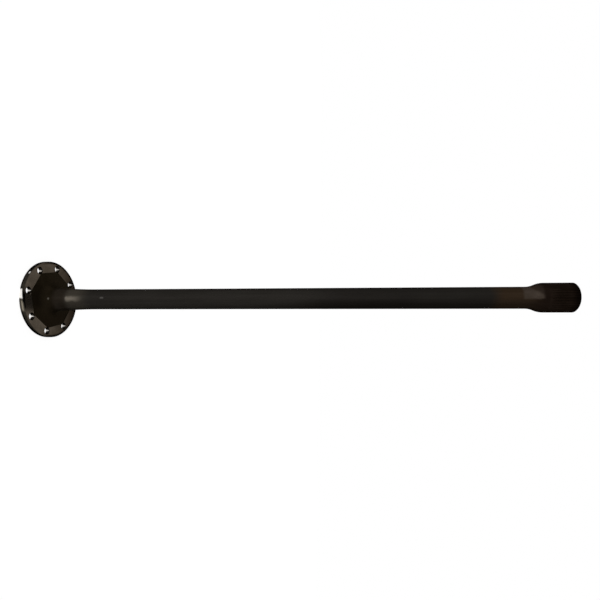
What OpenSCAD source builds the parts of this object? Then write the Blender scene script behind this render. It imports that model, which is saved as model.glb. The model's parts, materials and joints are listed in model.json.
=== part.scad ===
// Flanged drive axle shaft: one steel forging, turned, drilled and splined.
// It stands on the outboard face of its flange, with the shaft's axis along +Z.
// The origin is the centre of that face.

/* [Flange] */
// Outer diameter of the flange
flange_d = 162; // [140:1:220]
// Thickness of the flange, from its outboard face to its bolting lands
flange_t = 9.5; // [8:0.5:20]
// Chamfer on both corners of the rim
rim_chamfer = 0.8; // [0.3:0.1:2]
// Diameter of the shallow dish in the outboard face
dish_d = 84; // [50:1:100]
// Depth of the dish
dish_depth = 2; // [1:0.5:4]

/* [Bolt circle] */
// Number of bolt holes, and of sides on the relief between the lands
bolt_count = 8; // [6:1:10]
// Diameter of each bolt hole
bolt_hole_d = 15; // [10:0.5:18]
// Wall left between each bolt hole and the rim
rim_wall = 5; // [3:0.5:12]
// Chamfer at both ends of each bolt hole
hole_chamfer = 0.5; // [0.2:0.1:1]
// Depth of the as-forged relief below the bolting lands
relief_depth = 0.8; // [0.4:0.1:2]
// How far a corner of the relief reaches into its bolt hole
relief_reach = 1.5; // [1:0.5:6]

/* [Shaft] */
// Length from the bolting lands to the splined end
shaft_len = 1060; // [700:1:1300]
// Diameter of the plain shaft
body_d = 42.5; // [34:0.5:48]
// Distance from the relief's floor to where the shaft becomes parallel
hub_len = 100; // [50:1:140]
// Radius of the fillet at the flange
root_fillet = 16; // [8:1:20]
// Radius of the long blend between that fillet and the shaft
hub_blend = 900; // [400:10:1500]

/* [Spline] */
// Number of teeth
spline_teeth = 35; // [33:1:40]
// Module of the teeth: 16 teeth to an inch of pitch diameter
spline_module = 1.5875; // [1.5:0.0125:1.75]
// Length of full-depth teeth
spline_len = 40; // [25:1:120]
// Radius of the hob that leaves the run-out of each tooth gap
hob_r = 45; // [30:1:60]
// Plain length between the flare and the run-out
spline_land = 3; // [1:0.5:10]
// Length of the flare from the shaft up to the splined head
flare_len = 34; // [24:1:60]
// Chamfer at the splined end
end_chamfer = 2.5; // [1:0.1:4]

/* [Centres] */
// Pilot diameter of the turning centres in both ends
centre_pilot_d = 6.3; // [4:0.1:8]
// Mouth diameter of the turning centres
centre_mouth_d = 13.2; // [9:0.1:16]
// Depth of the pilot below its cone
centre_pilot_depth = 7; // [4:0.5:12]

/* [Hidden] */
$fn = 96;

// Cutters pass each surface by this much
cut_margin = 1;
// Steps along a tight arc and along a slow one
tight_steps = 12;
slow_steps = 8;
// The cone of a turning centre is 60 degrees across
centre_half_angle = 30;
// The hob's arc runs on by this share after it has left the head
hob_overrun = 1.3;

flange_r = flange_d / 2;
body_r = body_d / 2;
// Diameter of the circle that the bolt holes lie on
bolt_pcd = flange_d - bolt_hole_d - 2 * rim_wall;
// Floor of the relief, and the far end of the shaft
floor_z = flange_t - relief_depth;
end_z = flange_t + shaft_len;

// Involute spline of 30 degrees with a flat root, drawn with straight flanks
pressure_angle = 30;
root_share = 1.35;
pitch_r = spline_teeth * spline_module / 2;
head_r = (spline_teeth + 1) * spline_module / 2;
root_r = (spline_teeth - root_share) * spline_module / 2;
tooth_depth = head_r - root_r;
half_gap_angle = 90 / spline_teeth;
flank_slope = tan(pressure_angle + half_gap_angle);
half_gap_pitch = PI * spline_module / 4;
cutter_r = head_r + cut_margin;
function half_gap(r) = half_gap_pitch + flank_slope * (r - pitch_r);

// Stations along the shaft, counted back from the splined end
runout_len = sqrt(tooth_depth * (2 * hob_r - tooth_depth));
full_depth_z = end_z - spline_len;
flare_top_z = full_depth_z - runout_len - spline_land;
flare_z = flare_top_z - flare_len;

// The flare is two equal arcs that meet at its middle
flare_rise = head_r - body_r;
flare_r = (flare_len * flare_len + flare_rise * flare_rise) / (4 * flare_rise);
flare_angle = asin(flare_len / 2 / flare_r);

// The fillet touches the relief's floor, and the long blend from inside it
blend_centre = [body_r + hub_blend, floor_z + hub_len];
centre_gap = hub_blend - root_fillet;
blend_angle = asin((hub_len - root_fillet) / centre_gap);
hub_foot_r = blend_centre.x - centre_gap * cos(blend_angle);
fillet_centre = [hub_foot_r, floor_z + root_fillet];

function polar(r, angle) = r * [cos(angle), sin(angle)];
function arc(centre, r, from, to, steps) =
    [for (i = [0:steps]) centre + polar(r, from + (to - from) * i / steps)];

// Turned outline of the shaft, from the flange's middle to the splined end
function shaft_outline() = concat(
    [[0, dish_depth], [hub_foot_r, dish_depth]],
    arc(fillet_centre, root_fillet, 270, 180 + blend_angle, tight_steps),
    arc(blend_centre, hub_blend, 180 + blend_angle, 180, slow_steps),
    arc([body_r + flare_r, flare_z], flare_r, 180, 180 - flare_angle, slow_steps),
    arc([head_r - flare_r, flare_top_z], flare_r, -flare_angle, 0, slow_steps),
    [[head_r, end_z - end_chamfer], [head_r - end_chamfer, end_z], [0, end_z]]
);

// Turned outline of the flange, with the dish in its outboard face
function flange_outline() = [
    [0, dish_depth],
    [dish_d / 2 - dish_depth, dish_depth],
    [dish_d / 2, 0],
    [flange_r - rim_chamfer, 0],
    [flange_r, rim_chamfer],
    [flange_r, flange_t - rim_chamfer],
    [flange_r - rim_chamfer, flange_t],
    [0, flange_t]
];

// As-forged relief, with a corner at every bolt hole
module relief() {
    corner_r = (bolt_pcd - bolt_hole_d) / 2 + relief_reach;
    translate([0, 0, floor_z])
        linear_extrude(relief_depth + cut_margin)
            polygon([for (i = [0:bolt_count - 1]) polar(corner_r, 360 * i / bolt_count)]);
}

// Cone that opens upwards from z = 0 and passes its mouth by the cutting margin
module countersink(d, depth, slope) {
    cylinder(d1 = d, d2 = d + 2 * slope * (depth + cut_margin), h = depth + cut_margin);
}

module bolt_hole() {
    translate([0, 0, -cut_margin])
        cylinder(d = bolt_hole_d, h = flange_t + 2 * cut_margin);
    translate([0, 0, flange_t - hole_chamfer])
        countersink(bolt_hole_d, hole_chamfer, 1);
    translate([0, 0, hole_chamfer])
        mirror([0, 0, 1])
            countersink(bolt_hole_d, hole_chamfer, 1);
}

// Turning centre with its mouth at z = 0, drilled downwards
module turning_centre() {
    cone_slope = tan(centre_half_angle);
    cone_depth = (centre_mouth_d - centre_pilot_d) / 2 / cone_slope;
    translate([0, 0, -cone_depth - centre_pilot_depth])
        cylinder(d = centre_pilot_d, h = cone_depth + centre_pilot_depth);
    translate([0, 0, -cone_depth])
        countersink(centre_pilot_d, cone_depth, cone_slope);
}

// One gap between two teeth: a straight cut, then the arc where the hob leaves the head
module spline_gap() {
    translate([0, 0, full_depth_z])
        linear_extrude(spline_len + cut_margin)
            polygon([
                [root_r, -half_gap(root_r)], [cutter_r, -half_gap(cutter_r)],
                [cutter_r, half_gap(cutter_r)], [root_r, half_gap(root_r)]
            ]);
    hob_inner = hob_r - (cutter_r - root_r);
    exit_angle = hob_overrun * acos(1 - tooth_depth / hob_r);
    translate([root_r + hob_r, 0, full_depth_z])
        rotate([0, 180, 0])
            rotate([90, 0, 0])
                rotate_extrude(angle = exit_angle)
                    polygon([
                        [hob_r, -half_gap(root_r)], [hob_inner, -half_gap(cutter_r)],
                        [hob_inner, half_gap(cutter_r)], [hob_r, half_gap(root_r)]
                    ]);
}

module axle_shaft() {
    color("#211f1d")
        difference() {
            union() {
                difference() {
                    rotate_extrude() polygon(flange_outline());
                    relief();
                }
                rotate_extrude() polygon(shaft_outline());
            }
            for (i = [0:bolt_count - 1])
                rotate(360 * i / bolt_count)
                    translate([bolt_pcd / 2, 0, 0])
                        bolt_hole();
            for (i = [0:spline_teeth - 1])
                rotate(360 * i / spline_teeth)
                    spline_gap();
            translate([0, 0, end_z])
                turning_centre();
            translate([0, 0, dish_depth])
                mirror([0, 0, 1])
                    turning_centre();
        }
}

axle_shaft();
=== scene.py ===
"""Looks of a flanged drive axle shaft: one blackened steel forging, turned, drilled and splined.

The shaft stands on its flange with its axis along +Z.
The camera is rolled on its side, so the shaft lies across the picture.
"""
from collections import namedtuple
import json
import math

import bmesh
import bpy
import numpy as np
from mathutils import Matrix, Vector
from mathutils.geometry import delaunay_2d_cdt


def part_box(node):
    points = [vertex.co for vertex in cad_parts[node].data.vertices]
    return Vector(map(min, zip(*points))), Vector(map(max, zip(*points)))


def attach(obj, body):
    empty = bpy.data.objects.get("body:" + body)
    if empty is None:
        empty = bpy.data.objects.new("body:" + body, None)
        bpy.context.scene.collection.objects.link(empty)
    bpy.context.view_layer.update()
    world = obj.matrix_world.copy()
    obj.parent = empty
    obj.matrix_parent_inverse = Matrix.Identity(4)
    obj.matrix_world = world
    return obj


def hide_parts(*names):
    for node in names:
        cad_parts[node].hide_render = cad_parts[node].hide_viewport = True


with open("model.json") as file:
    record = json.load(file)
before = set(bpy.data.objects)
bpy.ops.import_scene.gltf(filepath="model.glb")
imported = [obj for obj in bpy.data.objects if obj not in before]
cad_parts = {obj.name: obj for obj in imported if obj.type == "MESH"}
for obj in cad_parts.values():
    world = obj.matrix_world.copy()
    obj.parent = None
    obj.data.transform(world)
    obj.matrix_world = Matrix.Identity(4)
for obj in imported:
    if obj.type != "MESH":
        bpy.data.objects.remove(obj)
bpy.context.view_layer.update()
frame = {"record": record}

MM = 0.001
NODE = "axle_shaft"

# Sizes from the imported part
mounts = {mount["name"]: mount for mount in frame["record"]["mounts"]}
bolt_circle = mounts["bolt_circle"]
bolt_count = bolt_circle["dims"]["count"]
bolt_ring_r = bolt_circle["dims"]["pcd_mm"] / 2 * MM
hole_r = bolt_circle["dims"]["hole_r_mm"] * MM
flange_t = bolt_circle["pos_m"][2]
flange_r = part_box(NODE)[1].x
end_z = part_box(NODE)[1].z

# Flange, in the CAD part's sizes, as are the shaft, the head and the centres
rim_chamfer = 0.8 * MM
hole_chamfer = 0.5 * MM
dish_r = 42 * MM
dish_depth = 2 * MM
relief_depth = 0.8 * MM
relief_reach = 1.5 * MM
floor_z = flange_t - relief_depth

# Shaft
body_r = 21.25 * MM
hub_len = 100 * MM
root_fillet = 16 * MM
hub_blend = 900 * MM

# Splined head
teeth = 35
module = 1.5875 * MM
pressure_angle = math.radians(30)
root_share = 1.35
spline_len = 40 * MM
hob_r = 45 * MM
spline_land = 3 * MM
flare_len = 34 * MM
end_chamfer = 2.5 * MM

# Turning centres
pilot_r = 3.15 * MM
mouth_r = 6.6 * MM
pilot_depth = 7 * MM
cone_half_angle = math.radians(30)
cone_depth = (mouth_r - pilot_r) / math.tan(cone_half_angle)

# Teeth as trapezoid gaps, and the stations that they set
pitch_r = teeth * module / 2
head_r = (teeth + 1) * module / 2
root_r = (teeth - root_share) * module / 2
flank_slope = math.tan(pressure_angle + math.pi / 2 / teeth)
root_half_gap = math.pi * module / 4 + flank_slope * (root_r - pitch_r)
tooth_depth = head_r - root_r
runout_len = math.sqrt(tooth_depth * (2 * hob_r - tooth_depth))
full_depth_z = end_z - spline_len
runout_z = full_depth_z - runout_len
flare_top_z = runout_z - spline_land
flare_z = flare_top_z - flare_len

# Arcs of the flare, the root fillet and the long blend along the hub
flare_rise = head_r - body_r
flare_r = (flare_len ** 2 + flare_rise ** 2) / (4 * flare_rise)
flare_angle = math.asin(flare_len / 2 / flare_r)
blend_angle = math.asin((hub_len - root_fillet) / (hub_blend - root_fillet))
hub_foot_r = body_r + hub_blend - (hub_blend - root_fillet) * math.cos(blend_angle)
hub_top_z = floor_z + hub_len

# Fineness of the mesh: steps along or round each form
flank_steps = 4
fillet_steps = 28
blend_steps = 20
plain_steps = 12
flare_steps = 14
runout_steps = 24
tooth_steps = 6
centre_steps = 96
hole_steps = 72
wall_steps = 10
dish_steps = 280
crease_angle = math.radians(28)

# The photographed side of the shaft: towards the camera, and up in the picture
camera_bearing = math.radians(-76.6)
towards = Vector((math.cos(camera_bearing), math.sin(camera_bearing), 0))
along = Vector((0, 0, 1))
upward = towards.cross(along)

# Finishes in a dark and a light tone, as linear red, green and blue; some stand for painted shade and
# painted highlights, as marked
SCALE = ((0.0105, 0.0077, 0.0044), (0.0155, 0.0113, 0.0065))
HUB = ((0.0180, 0.0138, 0.0098), (0.0240, 0.0190, 0.0142))
PLAIN = ((0.0182, 0.0164, 0.0142), (0.0240, 0.0217, 0.0190))
TURNED = ((0.042, 0.036, 0.028), (0.056, 0.049, 0.039))
TEMPERED = ((0.0350, 0.0220, 0.0130), (0.0480, 0.0315, 0.0195))
# Painted highlight on the hub's turned band
HUB_HIGHLIGHT = ((0.12, 0.102, 0.080), (0.22, 0.194, 0.160))
# Painted highlight on the flare
FLARE_HIGHLIGHT = ((0.045, 0.033, 0.024), (0.100, 0.078, 0.063))
OILED = ((0.0125, 0.0078, 0.0054), (0.0180, 0.0116, 0.0083))
MACHINED = ((0.064, 0.0525, 0.040), (0.088, 0.072, 0.056))
RIM = ((0.022, 0.0195, 0.015), (0.034, 0.030, 0.024))
# Near black: painted shade on the walls of the holes
BORE_SHADED = ((0.008, 0.007, 0.006), (0.016, 0.014, 0.012))
# Painted highlight streaks in the holes
STREAK_HIGHLIGHT = ((0.50, 0.47, 0.43), (0.80, 0.77, 0.72))

# Stains, wear, painted shade and painted highlights in one tone
# Darker tone for the relief in front of the hub
SCALE_NEAR_DARK = (0.0098, 0.0072, 0.0042)
# Painted light on the relief behind the hub
SCALE_PAINTED_LIGHT = (0.0150, 0.0112, 0.0068)
# Painted shade on the relief low in the picture
SCALE_PAINTED_SHADE = (0.0105, 0.0072, 0.0042)
# Painted shade on the lands' far side
MACHINED_SHADED = (0.018, 0.0135, 0.011)
# Near black, used as painted shade on the shaft's low side
NEAR_BLACK = (0.004, 0.003, 0.002)
# Painted shade along the flange's inboard edge
EDGE_SHADE = (0.003, 0.0025, 0.002)
# Painted shade along part of the plain length
PLAIN_SHADE = (0.004, 0.003, 0.003)
# Painted shade at the splined end
TOOTH_END_SHADE = (0.004, 0.0025, 0.0018)
# Painted glint on the root fillet
FILLET_GLINT = (0.090, 0.080, 0.068)
SCUFF = (0.08, 0.075, 0.070)
# Painted highlight on the rim, grey
RIM_HIGHLIGHT_GREY = (0.060, 0.053, 0.041)
# Painted highlight on the rim's inboard edge
RIM_EDGE_HIGHLIGHT = (0.245, 0.215, 0.165)
# Painted highlight on the rim, in bare steel
BARE_STEEL_HIGHLIGHT = (0.86, 0.84, 0.80)

# How metallic the surfaces are, and a tint that keeps them from brightening at grazing angles
BLACKENED_METAL = 0.1
CUT_METAL = 0.85
BORED_METAL = 0.9
EDGE_TINT = (0.15, 0.15, 0.15, 1.0)

# The part of a noise's range that most of its values lie in, and a wider one
NOISE_MIDDLE = (0.35, 0.65)
NOISE_WIDE = (0.3, 0.7)

# Loops of a bolt hole, from its outboard mouth to its mouth in the land
BoltHole = namedtuple("BoltHole", "outboard floor chamfer land")


def mm(*lengths):
    """Lengths in millimetres as metres."""
    return tuple(length * MM for length in lengths)


def stations(base, *distances):
    """Places at distances in millimetres from a base."""
    return tuple(base + distance * MM for distance in distances)


def spread(first, last, steps):
    """Evenly spaced values from the first to the last."""
    return [first + (last - first) * i / steps for i in range(steps + 1)]


class Skin:
    """Vertices and faces of the forging, with the zone that each face's finish comes from."""

    def __init__(self):
        self.points = []
        self.faces = []
        self.zones = []

    def loop(self, places):
        """Adds vertices and returns their indices."""
        first = len(self.points)
        self.points.extend(places)
        return list(range(first, len(self.points)))

    def face(self, corners, zone):
        self.faces.append(corners)
        self.zones.append(zone)

    def strip(self, lower, upper, zone, closed=True):
        """Quads between two loops, in one zone or in a list of zones."""
        count = len(lower)
        zones = zone if isinstance(zone, list) else [zone] * count
        for i in range(count if closed else count - 1):
            j = (i + 1) % count
            self.face([lower[i], lower[j], upper[j], upper[i]], zones[i])

    def fill(self, loops, zone):
        """Triangles of the flat region inside the first loop and outside the others."""
        corners = [index for loop in loops for index in loop]
        places = [Vector(self.points[index][:2]) for index in corners]
        edges = []
        start = 0
        for loop in loops:
            edges += [(start + i, start + (i + 1) % len(loop)) for i in range(len(loop))]
            start += len(loop)
        whole_hull = 0
        merge_distance = 1e-9
        filled = delaunay_2d_cdt(places, edges, [], whole_hull, merge_distance)
        spots, _, triangles, origins, _, _ = filled
        sources = [corners[origin[0]] for origin in origins]
        outlines = [np.array([self.points[index][:2] for index in loop]) for loop in loops]
        for triangle in triangles:
            middle = sum((spots[i] for i in triangle), Vector((0, 0))) / 3
            if sum(encloses(outline, middle) for outline in outlines) == 1:
                self.face([sources[i] for i in triangle], zone)

    def fan(self, loop, tip, zone):
        """Triangles from a loop to one point."""
        centre = self.loop([tip])[0]
        for i, index in enumerate(loop):
            self.face([index, loop[(i + 1) % len(loop)], centre], zone)


def encloses(outline, point):
    """True if a closed outline goes round a point, by counting the sides to the right of it."""
    after = np.roll(outline, -1, axis=0)
    crossing = (outline[:, 1] > point.y) != (after[:, 1] > point.y)
    start, end = outline[crossing], after[crossing]
    share = (point.y - start[:, 1]) / (end[:, 1] - start[:, 1])
    reach = start[:, 0] + share * (end[:, 0] - start[:, 0])
    return np.count_nonzero(reach > point.x) % 2 == 1


def ring(radius, z, angles):
    """Points of a circle about the axis."""
    return [(radius * math.cos(a), radius * math.sin(a), z) for a in angles]


def even_angles(count):
    return [2 * math.pi * i / count for i in range(count)]


def arc(centre, radius, first, last, steps):
    """Points of an arc in the half plane of radius and height."""
    turns = spread(first, last, steps)
    return [(centre[0] + radius * math.cos(t), centre[1] + radius * math.sin(t)) for t in turns]


def gap_radius(angle, root):
    """Radius of the tooth gap's wall on the ray at an angle from the gap's middle."""
    slope = math.tan(abs(angle))
    if slope * root <= root_half_gap:
        return root / math.cos(angle)
    if slope >= flank_slope:
        return math.inf
    x = (flank_slope * root - root_half_gap) / (flank_slope - slope)
    return x / math.cos(angle)


def tooth_columns():
    """Angles of the mesh columns, with one on every corner of a tooth, and how many a tooth has."""
    halvings = 50
    half_pitch = math.pi / teeth
    root_corner = math.atan(root_half_gap / root_r)
    tip_corner, beyond = root_corner, half_pitch
    for _ in range(halvings):
        middle = (tip_corner + beyond) / 2
        if gap_radius(middle, root_r) < head_r:
            tip_corner = middle
        else:
            beyond = middle
    flank = spread(root_corner, tip_corner, flank_steps)
    half = [root_corner / 2] + flank + [(tip_corner + half_pitch) / 2]
    pattern = [-half_pitch] + [-a for a in reversed(half)] + [0] + half
    return [2 * half_pitch * tooth + a for tooth in range(teeth) for a in pattern], len(pattern)


columns, columns_per_tooth = tooth_columns()


def tooth_radii(root):
    """Radius of every column where the tooth gaps go down to a root radius."""
    one_tooth = [min(head_r, gap_radius(angle, root)) for angle in columns[:columns_per_tooth]]
    return one_tooth * teeth


def uneven_ring(radii, heights):
    """Points of the columns at radii and heights of their own."""
    return [(r * math.cos(a), r * math.sin(a), z) for r, z, a in zip(radii, heights, columns)]


def shaft_profile():
    """Turned outline from the relief's floor to the top of the flare, as radius and height."""
    fillet_centre = (hub_foot_r, floor_z + root_fillet)
    fillet = arc(fillet_centre, root_fillet, 1.5 * math.pi, math.pi + blend_angle, fillet_steps)
    blend_centre = (body_r + hub_blend, hub_top_z)
    blend = arc(blend_centre, hub_blend, math.pi + blend_angle, math.pi, blend_steps)
    plain = [(body_r, z) for z in spread(hub_top_z, flare_z, plain_steps)]
    rise = arc((body_r + flare_r, flare_z), flare_r, math.pi, math.pi - flare_angle, flare_steps)
    crest = arc((head_r - flare_r, flare_top_z), flare_r, -flare_angle, 0, flare_steps)
    return fillet + blend[1:] + plain[1:-1] + rise + crest[1:]


def add_shaft(skin):
    """Hub, plain shaft, flare and splined head. Returns the loop at the hub's foot."""
    loops = [skin.loop(ring(radius, z, columns)) for radius, z in shaft_profile()]
    for lower, upper in zip(loops, loops[1:]):
        skin.strip(lower, upper, "shaft")
    add_head(skin, loops[-1])
    return loops[0]


def add_head(skin, below):
    """Teeth from their run-outs to the end chamfer, on the flare's last loop, and the end face."""
    straight_end = end_z - end_chamfer
    heights = spread(runout_z, full_depth_z, runout_steps)
    heights += spread(full_depth_z, straight_end, tooth_steps)[1:-1]
    for z in heights:
        back = max(full_depth_z - z, 0)
        root = root_r + hob_r - math.sqrt(hob_r ** 2 - back ** 2)
        radii = tooth_radii(root)
        loop = skin.loop(uneven_ring(radii, [z] * len(radii)))
        skin.strip(below, loop, "spline")
        below = loop

    radii = tooth_radii(root_r)
    chamfered = skin.loop(uneven_ring(radii, [straight_end + head_r - r for r in radii]))
    skin.strip(below, chamfered, "spline")
    end_edge = skin.loop(ring(head_r - end_chamfer, end_z, columns))
    skin.strip(chamfered, end_edge, "spline")
    mouth = add_centre(skin, end_z, -1)
    skin.fill([end_edge, mouth], "face")


def add_centre(skin, mouth_z, sense):
    """Turning centre, a cone and a pilot hole, drilled up (1) or down (-1). Returns its mouth's loop."""
    angles = even_angles(centre_steps)
    mouth = skin.loop(ring(mouth_r, mouth_z, angles))
    neck = skin.loop(ring(pilot_r, mouth_z + sense * cone_depth, angles))
    bottom_z = mouth_z + sense * (cone_depth + pilot_depth)
    bottom = skin.loop(ring(pilot_r, bottom_z, angles))
    skin.strip(mouth, neck, "bore")
    skin.strip(neck, bottom, "bore")
    skin.fan(bottom, (0, 0, bottom_z), "bore")
    return mouth


def relief_crossing(radius):
    """Angle about a bolt hole's middle at which the relief's side crosses a circle round that hole.

    The hole lies on the +X axis, and the angle is counted from +X.
    """
    corner = Vector((bolt_ring_r - hole_r + relief_reach, 0))
    turn = 2 * math.pi / bolt_count
    side = Vector((corner.x * math.cos(turn), corner.x * math.sin(turn))) - corner
    side.normalize()
    start = corner - Vector((bolt_ring_r, 0))
    middle = -start.dot(side)
    reach = middle + math.sqrt(middle ** 2 - start.length_squared + radius ** 2)
    point = start + side * reach
    return math.atan2(point.y, point.x)


def highlight_zone(direction, share):
    """Zone of a bore's wall at a share of its depth from the outboard face.

    The side away from the camera has a bright streak, which narrows inboard, for the photograph's marks.
    """
    # Painted highlight: a bright streak on the wall side away from the camera
    streak_half_angle = math.radians(16)
    away = math.cos(direction - camera_bearing - math.pi)
    return "rub" if away > math.cos(streak_half_angle * (1 - share)) else "bore"


def hole_turns():
    """Angles round a bolt hole from its outer side: along the land, along the mouth there, the rest."""
    wall_cross = relief_crossing(hole_r)
    mouth_cross = relief_crossing(hole_r + hole_chamfer)
    rest_steps = math.ceil(hole_steps * (math.pi - wall_cross) / wall_cross)
    land = spread(-wall_cross, wall_cross, hole_steps)
    mouth = spread(-mouth_cross, mouth_cross, hole_steps)
    rest = spread(wall_cross, 2 * math.pi - wall_cross, rest_steps)[1:-1]
    return land, mouth, rest


def add_bolt_hole(skin, bearing):
    """One chamfered bolt hole at a bearing from +X. Returns its loops."""
    land_turns, mouth_turns, rest_turns = hole_turns()
    all_turns = land_turns + rest_turns
    middle = Vector((bolt_ring_r * math.cos(bearing), bolt_ring_r * math.sin(bearing)))

    def around(radius, z, turns):
        angles = [bearing + t for t in turns]
        return [(middle.x + radius * math.cos(a), middle.y + radius * math.sin(a), z) for a in angles]

    outboard = skin.loop(around(hole_r + hole_chamfer, 0, all_turns))
    below = skin.loop(around(hole_r, hole_chamfer, all_turns))
    skin.strip(outboard, below, "bore")
    for step, z in enumerate(spread(hole_chamfer, floor_z, wall_steps)[1:]):
        above = skin.loop(around(hole_r, z, all_turns))
        share = (step + 0.5) / wall_steps
        skin.strip(below, above, [highlight_zone(bearing + t, share) for t in all_turns])
        below = above
    chamfer = skin.loop(around(hole_r, flange_t - hole_chamfer, land_turns))
    land = skin.loop(around(hole_r + hole_chamfer, flange_t, mouth_turns))
    skin.strip(below[:len(land_turns)], chamfer, "bore", closed=False)
    skin.strip(chamfer, land, "land", closed=False)
    return BoltHole(outboard, below, chamfer, land)


def add_lands(skin, holes, hub_foot):
    """Lands, and the sides and floor of the relief between them. Returns the lands' outer loop."""
    land_end = hole_steps
    land_loop = []
    floor_loop = []
    for hole, after in zip(holes, holes[1:] + holes[:1]):
        side_foot = [hole.floor[land_end], after.floor[0]]
        side_top = [after.land[0], hole.land[-1]]
        skin.face(side_foot + [after.chamfer[0]] + side_top + [hole.chamfer[-1]], "relief")
        land_loop += hole.land
        floor_loop += reversed(hole.floor[land_end:] + hole.floor[:1])
    rim_top = skin.loop(ring(flange_r - rim_chamfer, flange_t, columns))
    skin.fill([rim_top, land_loop], "land")
    skin.fill([floor_loop, hub_foot], "relief")
    return rim_top


def add_rim(skin, rim_top):
    """Rim with both chamfers. Returns the outer loop of the outboard face."""
    upper = skin.loop(ring(flange_r, flange_t - rim_chamfer, columns))
    lower = skin.loop(ring(flange_r, rim_chamfer, columns))
    rim_bottom = skin.loop(ring(flange_r - rim_chamfer, 0, columns))
    skin.strip(upper, rim_top, "rim")
    skin.strip(lower, upper, "rim")
    skin.strip(rim_bottom, lower, "rim")
    return rim_bottom


def add_outboard_face(skin, rim_bottom, holes):
    """Outboard face with its holes, its dish and a turning centre."""
    angles = even_angles(dish_steps)
    dish_edge = skin.loop(ring(dish_r, 0, angles))
    dish_foot = skin.loop(ring(dish_r - dish_depth, dish_depth, angles))
    skin.fill([rim_bottom, dish_edge] + [hole.outboard for hole in holes], "face")
    skin.strip(dish_edge, dish_foot, "face")
    skin.fill([dish_foot, add_centre(skin, dish_depth, 1)], "face")


def add_flange(skin, hub_foot):
    """Bolt holes, lands, relief, rim and outboard face."""
    holes = [add_bolt_hole(skin, bearing) for bearing in even_angles(bolt_count)]
    rim_top = add_lands(skin, holes, hub_foot)
    rim_bottom = add_rim(skin, rim_top)
    add_outboard_face(skin, rim_bottom, holes)


def build_piece(skin, materials):
    """The forging as one mesh object, with a material for each zone."""
    mesh = bpy.data.meshes.new("forging")
    mesh.from_pydata(skin.points, [], skin.faces)
    names = list(materials)
    for name in names:
        mesh.materials.append(materials[name])
    mesh.polygons.foreach_set("material_index", [names.index(zone) for zone in skin.zones])
    work = bmesh.new()
    work.from_mesh(mesh)
    bmesh.ops.recalc_face_normals(work, faces=work.faces)
    work.to_mesh(mesh)
    work.free()
    mesh.polygons.foreach_set("use_smooth", [True] * len(mesh.polygons))
    mesh.set_sharp_from_angle(angle=crease_angle)
    piece = bpy.data.objects.new("forged_axle_shaft", mesh)
    bpy.context.scene.collection.objects.link(piece)
    return piece


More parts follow.
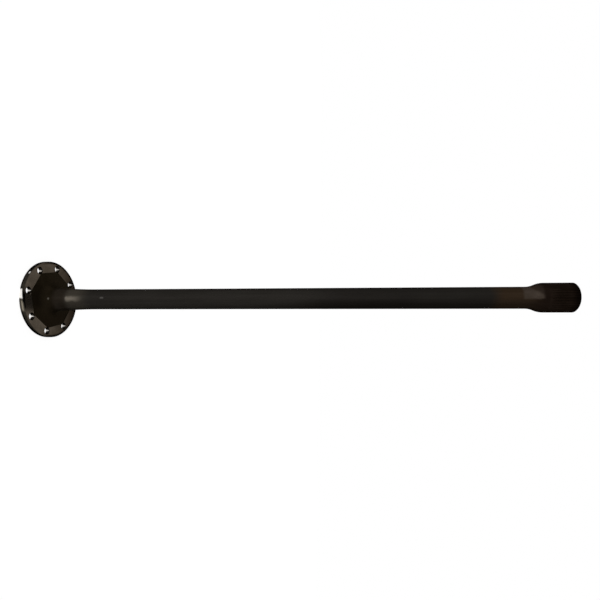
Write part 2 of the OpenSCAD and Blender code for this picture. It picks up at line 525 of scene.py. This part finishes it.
class Shader:
    """A principled material and short calls for its nodes."""

    def __init__(self, name, metallic):
        self.material = bpy.data.materials.new(name)
        self.material.use_nodes = True
        self.tree = self.material.node_tree
        self.surface = self.tree.nodes["Principled BSDF"]
        self.surface.inputs["Metallic"].default_value = metallic
        self.surface.inputs["Specular IOR Level"].default_value = 0.0
        self.surface.inputs["Specular Tint"].default_value = EDGE_TINT
        self.place = self.node("ShaderNodeTexCoord").outputs["Object"]

    def node(self, kind, inputs=None, **settings):
        """A node with its settings, and with its inputs linked or set."""
        made = self.tree.nodes.new(kind)
        for name, value in settings.items():
            setattr(made, name, value)
        for name, value in (inputs or {}).items():
            if isinstance(value, bpy.types.NodeSocket):
                self.tree.links.new(value, made.inputs[name])
            else:
                made.inputs[name].default_value = value
        return made

    def math(self, operation, first, second, third=0.0):
        made = self.node("ShaderNodeMath", {0: first, 1: second, 2: third}, operation=operation)
        return made.outputs[0]

    def product(self, first, second):
        return self.math("MULTIPLY", first, second)

    def plus(self, base, value, times):
        """The base with some times the value added to it."""
        return self.math("MULTIPLY_ADD", value, times, base)

    def blend(self, first, second, share):
        """A share of the first value and the rest of the second."""
        return self.math("ADD", self.product(first, share), self.product(second, 1 - share))

    def stretched(self, lengthwise):
        """The place with its height scaled, so that noise on it is drawn out along the shaft."""
        inputs = {0: self.place, 1: (1, 1, lengthwise)}
        return self.node("ShaderNodeVectorMath", inputs, operation="MULTIPLY").outputs[0]

    def noise(self, vector, scale, detail=4.0):
        inputs = {"Vector": vector, "Scale": scale, "Detail": detail, "Roughness": 0.55}
        return self.node("ShaderNodeTexNoise", inputs).outputs[0]

    def line_noise(self, value, scale):
        """Noise along one coordinate, for turning marks."""
        inputs = {"W": value, "Scale": scale, "Detail": 2.0}
        return self.node("ShaderNodeTexNoise", inputs, noise_dimensions="1D").outputs[0]

    def fade(self, value, span, values=(0.0, 1.0)):
        """Smooth change between two numbers as the value crosses a span."""
        inputs = {"Value": value, "From Min": span[0], "From Max": span[1]}
        inputs.update({"To Min": values[0], "To Max": values[1]})
        return self.node("ShaderNodeMapRange", inputs, interpolation_type="SMOOTHSTEP").outputs[0]

    def window(self, value, span, soft):
        """1 inside a span and 0 outside it, with soft ends."""
        low, high = span
        rise = self.fade(value, (low - soft, low + soft))
        fall = self.fade(value, (high - soft, high + soft), (1.0, 0.0))
        return self.product(rise, fall)

    def mix(self, factor, first, second):
        """Colour between two colours, each a socket or three numbers."""
        made = self.node("ShaderNodeMix", data_type="RGBA")
        factor_input, first_input, second_input = made.inputs[0], made.inputs[6], made.inputs[7]
        self.tree.links.new(factor, factor_input)
        for socket, colour in ((first_input, first), (second_input, second)):
            if isinstance(colour, bpy.types.NodeSocket):
                self.tree.links.new(colour, socket)
            else:
                socket.default_value = (*colour, 1.0)
        return made.outputs[2]

    def height(self):
        return self.node("ShaderNodeSeparateXYZ", {0: self.place}).outputs[2]

    def radius(self):
        flat = self.stretched(lengthwise=0)
        return self.node("ShaderNodeVectorMath", {0: flat}, operation="LENGTH").outputs["Value"]

    def toward(self, direction):
        """Distance from the axis along a sideways direction."""
        made = self.node("ShaderNodeVectorMath", {0: self.place, 1: direction}, operation="DOT_PRODUCT")
        return made.outputs["Value"]

    def nearness(self):
        """Distance from the axis towards the photographed side."""
        return self.toward(towards)

    def lift(self):
        """Distance from the axis upwards in the picture."""
        return self.toward(upward)

    def patch(self, heights, height_soft, lifts, lift_soft):
        """Soft, ragged patch on the photographed side, by its spans along the shaft and up it."""
        noise_mean = 0.5
        wander = self.math("SUBTRACT", self.noise(self.place, scale=130.0), noise_mean)
        height = self.plus(self.height(), wander, 2 * height_soft)
        lift = self.plus(self.lift(), wander, -2 * lift_soft)
        length = self.window(height, heights, height_soft)
        breadth = self.window(lift, lifts, lift_soft)
        near = self.fade(self.nearness(), mm(0, 5))
        return self.product(self.product(length, breadth), near)

    def finish(self, colour, rough, height, depth):
        """Links the colour, the roughness and a fine relief, and returns the material."""
        self.tree.links.new(colour, self.surface.inputs["Base Color"])
        self.tree.links.new(rough, self.surface.inputs["Roughness"])
        bump = self.node("ShaderNodeBump", {"Height": height, "Distance": depth, "Strength": 1.0})
        self.tree.links.new(bump.outputs[0], self.surface.inputs["Normal"])
        return self.material


def scale_colour(shader):
    """Patchy as-forged scale, darker in front of the hub, painted lighter behind the hub against the
    shade there, and darker and browner below as painted shade.
    """
    patches = shader.noise(shader.place, scale=45.0)
    colour = shader.mix(shader.fade(patches, NOISE_MIDDLE), *SCALE)
    # Darker in front of the hub, on the side towards the camera
    near = shader.fade(shader.nearness(), mm(15, 40))
    middle_band = shader.window(shader.lift(), mm(-18, 18), soft=8 * MM)
    colour = shader.mix(shader.product(near, middle_band), colour, SCALE_NEAR_DARK)
    # Painted light: the far side is made paler against the shade behind the hub
    far = shader.fade(shader.nearness(), mm(20, -25))
    colour = shader.mix(far, colour, SCALE_PAINTED_LIGHT)
    # Painted shade: darker and browner towards the bottom of the picture
    low = shader.fade(shader.lift(), mm(-12, -40), values=(0.0, 0.6))
    return shader.mix(low, colour, SCALE_PAINTED_SHADE)


def forged_material(name):
    """As-forged scale of the relief: matt, pitted and patchy."""
    shader = Shader(name, BLACKENED_METAL)
    grain = shader.noise(shader.place, scale=700.0, detail=6.0)
    rough = shader.fade(grain, NOISE_WIDE, values=(0.45, 0.65))
    return shader.finish(scale_colour(shader), rough, grain, depth=0.25 * MM)


def hub_and_body_colour(shader, tone):
    """Scale in the root fillet, then the dark hub, the plain length with painted shade along part of it,
    and a turned band between them.
    """
    height = shader.height()
    # Painted shade: a darker stretch of the plain length, where the light falls off
    shade_stretch = shader.window(height, stations(flange_t, 570, 770), soft=60 * MM)
    shade_share = 0.3
    plain = shader.mix(shader.product(shade_stretch, shade_share), shader.mix(tone, *PLAIN), PLAIN_SHADE)
    hub_start = shader.fade(height, stations(flange_t, 10, 26))
    colour = shader.mix(hub_start, scale_colour(shader), shader.mix(tone, *HUB))
    plain_start = shader.fade(height, stations(flange_t, 35, 68))
    colour = shader.mix(plain_start, colour, plain)
    band_start = shader.fade(height, stations(flange_t, 37, 53))
    band_end = shader.fade(height, stations(flange_t, 60, 100), values=(1.0, 0.0))
    return shader.mix(shader.product(band_start, band_end), colour, shader.mix(tone, *TURNED))


def add_hub_highlights_and_scuff(shader, colour, marks):
    """Painted highlight on the turned band, a painted glint at the hub's root and a scuff beyond the
    hub.
    """
    # Painted highlight on the turned band, facing the camera
    rub = shader.patch(stations(flange_t, 45, 90), 2.5 * MM, mm(-3.5, 5), 3.5 * MM)
    hub_highlight_end = shader.fade(shader.height(), stations(flange_t, 52, 84), values=(1.0, 0.0))
    colour = shader.mix(shader.product(rub, hub_highlight_end), colour, shader.mix(marks, *HUB_HIGHLIGHT))
    # Painted glint on the root fillet
    fillet_glint = shader.patch(stations(flange_t, 8.5, 11.5), 1 * MM, mm(-1, 3), 1 * MM)
    colour = shader.mix(fillet_glint, colour, FILLET_GLINT)
    scuff = shader.patch(stations(flange_t, 120, 127), 1.5 * MM, mm(1, 4), 1 * MM)
    return shader.mix(scuff, colour, SCUFF)


def add_low_painted_shade(shader, colour):
    """Painted shade: darker on the low side, near the hub and along the far half."""
    height = shader.height()
    low_side = shader.fade(shader.lift(), mm(2, -12))
    hub_start = shader.fade(height, stations(flange_t, 18, 38))
    hub_end = shader.fade(height, stations(flange_t, 60, 95), values=(0.35, 0.0))
    far_half = shader.fade(height, stations(flange_t, 450, 600), values=(0.0, 0.5))
    strength = shader.math("ADD", shader.product(hub_end, hub_start), far_half)
    return shader.mix(shader.product(low_side, strength), colour, NEAR_BLACK)


def add_flare_highlight(shader, colour, clouds):
    """Painted highlight on the flare: a pale block with one corner cut off at a slant."""
    corner_slope = 0.7
    block_start = flare_z - 9 * MM
    block_end = flare_top_z - 9 * MM
    block = shader.patch((block_start, block_end), 3 * MM, mm(-3, 40), 2 * MM)
    slant = shader.plus(shader.lift(), shader.height(), corner_slope)
    corner = shader.fade(slant, stations(flare_z * corner_slope, 18, 26), values=(1.0, 0.25))
    highlight_tone = shader.mix(shader.fade(clouds, NOISE_WIDE), *FLARE_HIGHLIGHT)
    return shader.mix(shader.product(block, corner), colour, highlight_tone)


def shaft_material(name):
    """Blackened shaft: dark hub, turned band with a painted highlight, plain length and low side with
    painted shade, tempered end and a painted highlight on the flare.
    """
    shader = Shader(name, BLACKENED_METAL)
    height = shader.height()
    streaks = shader.noise(shader.stretched(lengthwise=0.03), scale=160.0)
    clouds = shader.noise(shader.stretched(lengthwise=0.3), scale=30.0)
    marks = shader.line_noise(height, scale=1600.0)
    tone = shader.fade(shader.blend(streaks, clouds, share=0.5), span=(0.36, 0.64))
    colour = hub_and_body_colour(shader, tone)
    colour = add_hub_highlights_and_scuff(shader, colour, marks)

    ragged_height = shader.plus(height, clouds, 24 * MM)
    temper = shader.fade(ragged_height, stations(flare_z, -62, -32))
    colour = shader.mix(temper, colour, shader.mix(tone, *TEMPERED))
    colour = add_low_painted_shade(shader, colour)
    oil = shader.fade(ragged_height, stations(flare_top_z, -25, 5))
    colour = shader.mix(oil, colour, shader.mix(tone, *OILED))
    colour = add_flare_highlight(shader, colour, clouds)
    rough = shader.fade(tone, (0.0, 1.0), values=(0.42, 0.58))
    return shader.finish(colour, rough, marks, depth=0.02 * MM)


def machined_material(name):
    """Turned faces: brown-grey steel with concentric tool marks and stains, painted shade on the far
    side and along the outer edge.
    """
    shader = Shader(name, CUT_METAL)
    radius = shader.radius()
    marks = shader.line_noise(radius, scale=2500.0)
    stains = shader.noise(shader.place, scale=55.0, detail=5.0)
    tone = shader.blend(marks, stains, share=0.35)
    colour = shader.mix(shader.fade(tone, span=(0.36, 0.62)), *MACHINED)
    # Painted shade: the lands darken away from the camera side
    unshaded_side = towards * 0.95 + upward * 0.1
    far_shade = shader.fade(shader.toward(unshaded_side), mm(25, -95))
    colour = shader.mix(far_shade, colour, MACHINED_SHADED)
    # Painted shade: a dark outline along the lands' outer edge, on the far side and across the middle
    far = shader.fade(shader.nearness(), mm(40, 5))
    middle = shader.window(shader.lift(), mm(-20, 10), soft=4 * MM)
    edge = shader.fade(radius, stations(flange_r, -7, -2))
    edge_shade_mask = shader.product(edge, shader.math("MAXIMUM", far, middle))
    colour = shader.mix(edge_shade_mask, colour, EDGE_SHADE)
    rough = shader.fade(tone, NOISE_WIDE, values=(0.28, 0.2))
    return shader.finish(colour, rough, marks, depth=0.01 * MM)


def rim_material(name):
    """Brown-black rim with a blackened outboard edge; towards the camera it has painted highlights in
    grey and bare steel, and painted shade at the inboard edge.
    """
    shader = Shader(name, CUT_METAL)
    height = shader.height()
    lift = shader.lift()
    marks = shader.line_noise(height, scale=3000.0)
    stains = shader.noise(shader.place, scale=120.0, detail=5.0)
    colour = shader.mix(shader.fade(stains, NOISE_MIDDLE), *RIM)
    film_slope = 0.025
    film = shader.fade(shader.plus(height, lift, film_slope), mm(2.5, 5), values=(1.0, 0.0))
    colour = shader.mix(film, colour, NEAR_BLACK)

    # Painted highlight: a grey patch on the rim, towards the camera
    grey_highlight = shader.patch((0, flange_t), 0.5 * MM, mm(-26, 3), 4 * MM)
    colour = shader.mix(grey_highlight, colour, RIM_HIGHLIGHT_GREY)
    # Painted highlight along the rim's inboard edge
    edge = shader.patch(stations(flange_t, -5, -1.5), 1 * MM, mm(-24, -5), 3 * MM)
    colour = shader.mix(edge, colour, RIM_EDGE_HIGHLIGHT)
    # Painted shade: a dark line at the rim's inboard edge
    inboard = shader.patch(stations(flange_t, -2.2, 1), 0.6 * MM, mm(-9, 13), 3 * MM)
    colour = shader.mix(inboard, colour, EDGE_SHADE)

    # Painted highlight: a bare-steel patch on the rim and a glint at its edge
    rim_highlight_slope = 0.12
    rim_highlight_end = shader.fade(shader.plus(height, lift, rim_highlight_slope), mm(6.5, 8.5), values=(1.0, 0.0))
    rim_highlight = shader.patch((-2 * MM, flange_t), 0.5 * MM, mm(-0.5, 18), 2 * MM)
    rim_glint = shader.patch(mm(6, 8.5), 0.8 * MM, mm(50, 54), 1 * MM)
    bright_patch = shader.math("MAXIMUM", shader.product(rim_highlight, rim_highlight_end), rim_glint)
    colour = shader.mix(bright_patch, colour, BARE_STEEL_HIGHLIGHT)
    rough = shader.fade(stains, NOISE_WIDE, values=(0.3, 0.45))
    return shader.finish(colour, rough, marks, depth=0.02 * MM)


def bore_material(name, tones):
    """Drilled holes, with fine drill marks, in the tones given; the near-black tones are painted shade
    and the bright ones a painted highlight.
    """
    dark, light = tones
    shader = Shader(name, BORED_METAL)
    marks = shader.line_noise(shader.height(), scale=3000.0)
    stains = shader.noise(shader.place, scale=150.0, detail=5.0)
    colour = shader.mix(shader.fade(stains, NOISE_MIDDLE), light, dark)
    rough = shader.fade(stains, NOISE_WIDE, values=(0.14, 0.24))
    return shader.finish(colour, rough, marks, depth=0.01 * MM)


def spline_material(name):
    """Oiled, dark brown-black teeth, darker towards the end as painted shade."""
    shader = Shader(name, BLACKENED_METAL)
    stains = shader.noise(shader.stretched(lengthwise=0.4), scale=90.0)
    grain = shader.noise(shader.place, scale=900.0)
    colour = shader.mix(shader.fade(stains, NOISE_MIDDLE), *OILED)
    # Painted shade: darker towards the end
    end = shader.fade(shader.height(), stations(end_z, -20, -2), values=(0.0, 0.9))
    colour = shader.mix(end, colour, TOOTH_END_SHADE)
    rough = shader.fade(grain, NOISE_WIDE, values=(0.42, 0.6))
    return shader.finish(colour, rough, grain, depth=0.03 * MM)


def show_by_sight(tree, seen, unseen, output):
    """Outputs one shader for what cameras, mirrors and glass see, and another for soft light."""
    path = tree.nodes.new("ShaderNodeLightPath")
    sight = path.outputs["Is Camera Ray"]
    for name in ("Is Glossy Ray", "Is Transmission Ray"):
        either = tree.nodes.new("ShaderNodeMath")
        either.operation = "MAXIMUM"
        tree.links.new(sight, either.inputs[0])
        tree.links.new(path.outputs[name], either.inputs[1])
        sight = either.outputs[0]
    mix = tree.nodes.new("ShaderNodeMixShader")
    tree.links.new(sight, mix.inputs[0])
    tree.links.new(unseen.outputs[0], mix.inputs[1])
    tree.links.new(seen.outputs[0], mix.inputs[2])
    tree.links.new(mix.outputs[0], tree.nodes[output].inputs[0])


def make_world():
    """White surroundings to look at, with a weak even light."""
    white = (1, 1, 1, 1)
    ambient = 0.15
    world = bpy.data.worlds.new("studio")
    bpy.context.scene.world = world
    world.use_nodes = True
    tree = world.node_tree
    soft = tree.nodes["Background"]
    soft.inputs["Color"].default_value = white
    soft.inputs["Strength"].default_value = ambient
    backdrop = tree.nodes.new("ShaderNodeBackground")
    backdrop.inputs["Color"].default_value = white
    backdrop.inputs["Strength"].default_value = 1.0
    show_by_sight(tree, backdrop, soft, "World Output")


def make_floor():
    """Pale floor that looks white where it is lit, and keeps the shadow."""
    half = 12.0
    highlight_tone = (0.8, 0.8, 0.8, 1)
    glow = 0.77
    corners = [(-half, -half, 0), (half, -half, 0), (half, half, 0), (-half, half, 0)]
    mesh = bpy.data.meshes.new("floor")
    mesh.from_pydata(corners, [], [range(len(corners))])
    floor = bpy.data.objects.new("floor", mesh)
    bpy.context.scene.collection.objects.link(floor)
    material = bpy.data.materials.new("pale_floor")
    material.use_nodes = True
    tree = material.node_tree
    tree.nodes.remove(tree.nodes["Principled BSDF"])
    paint = tree.nodes.new("ShaderNodeBsdfDiffuse")
    paint.inputs["Color"].default_value = highlight_tone
    light = tree.nodes.new("ShaderNodeEmission")
    light.inputs["Strength"].default_value = glow
    both = tree.nodes.new("ShaderNodeAddShader")
    tree.links.new(paint.outputs[0], both.inputs[0])
    tree.links.new(light.outputs[0], both.inputs[1])
    show_by_sight(tree, both, paint, "Material Output")
    mesh.materials.append(material)


def studio_place(height, out, lift):
    """A place by its height along the shaft, distance towards the camera and lift in the picture."""
    return along * height + towards * out + upward * lift


def add_lamp(name, lamp, place, target):
    """A lamp that neither the camera nor bare metal sees, so that metal shows only the white studio."""
    made = bpy.data.objects.new(name, lamp)
    made.location = place
    made.rotation_euler = (target - place).to_track_quat("-Z", "Y").to_euler()
    made.visible_camera = False
    made.visible_glossy = False
    bpy.context.scene.collection.objects.link(made)
    return made


def add_panel(name, height, out, lift, lit):
    """Soft panel that faces the axis and lights only one collection, so that the floor stays plain."""
    panel = bpy.data.lights.new(name, "AREA")
    panel.shape = "RECTANGLE"
    panel.size = 1.0
    panel.size_y = 0.9
    panel.energy = 8.0
    made = add_lamp(name, panel, studio_place(height, out, lift), studio_place(height, 0, 0))
    made.light_linking.receiver_collection = lit


def make_lamps(piece):
    """A soft key above the camera, a soft fill behind, and a weak sun for the shadow on the floor.

    The sun stands in the plane of the camera and the shaft, so that its shadow lies behind the shaft.
    """
    lit = bpy.data.collections.new("lit_piece")
    lit.objects.link(piece)
    add_panel("key", height=0.25, out=0.85, lift=0.22, lit=lit)
    add_panel("fill", height=0.35, out=-0.85, lift=-0.1, lit=lit)
    sun = bpy.data.lights.new("sun", "SUN")
    sun.angle = math.radians(3)
    sun.energy = 0.6
    add_lamp("sun", sun, studio_place(height=0.75, out=0.55, lift=-0.0193), Vector())


def make_camera():
    """Camera fitted to the photograph: its pan and roll, and the bolting face's centre in its axes."""
    picture_px = 600
    focal_px = 403.14
    axis_drop_px = 13.65
    sensor = 36.0
    pan = math.radians(5.306)
    roll = math.radians(0.0161)
    face_seen_at = Vector((-0.532992, 0.030401, -0.868312))

    right = along * math.cos(pan) - towards * math.sin(pan)
    back = along * math.sin(pan) + towards * math.cos(pan)
    up = upward * math.cos(roll) + right * math.sin(roll)
    right = up.cross(back)
    turn = Matrix((right, up, back)).transposed()
    face_centre = along * flange_t
    lens = bpy.data.cameras.new("camera")
    lens.sensor_width = sensor
    lens.lens = sensor * focal_px / picture_px
    lens.shift_y = axis_drop_px / picture_px
    camera = bpy.data.objects.new("camera", lens)
    camera.matrix_world = Matrix.Translation(face_centre - turn @ face_seen_at) @ turn.to_4x4()
    bpy.context.scene.collection.objects.link(camera)
    bpy.context.scene.camera = camera


materials = {
    "relief": forged_material("forged_scale"),
    "shaft": shaft_material("blackened_shaft"),
    "spline": spline_material("oiled_teeth"),
    "land": machined_material("machined_land"),
    "face": machined_material("machined_face"),
    "rim": rim_material("worn_rim"),
    # Near-black walls: painted shade of the holes
    "bore": bore_material("drilled_bore", BORE_SHADED),
    # Painted highlight streaks in the bolt holes
    "rub": bore_material("rubbed_bore", STREAK_HIGHLIGHT),
}
skin = Skin()
add_flange(skin, add_shaft(skin))
piece = build_piece(skin, materials)
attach(piece, "root")
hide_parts(NODE)

make_world()
make_floor()
make_lamps(piece)
make_camera()
bpy.context.scene.view_settings.view_transform = "Standard"
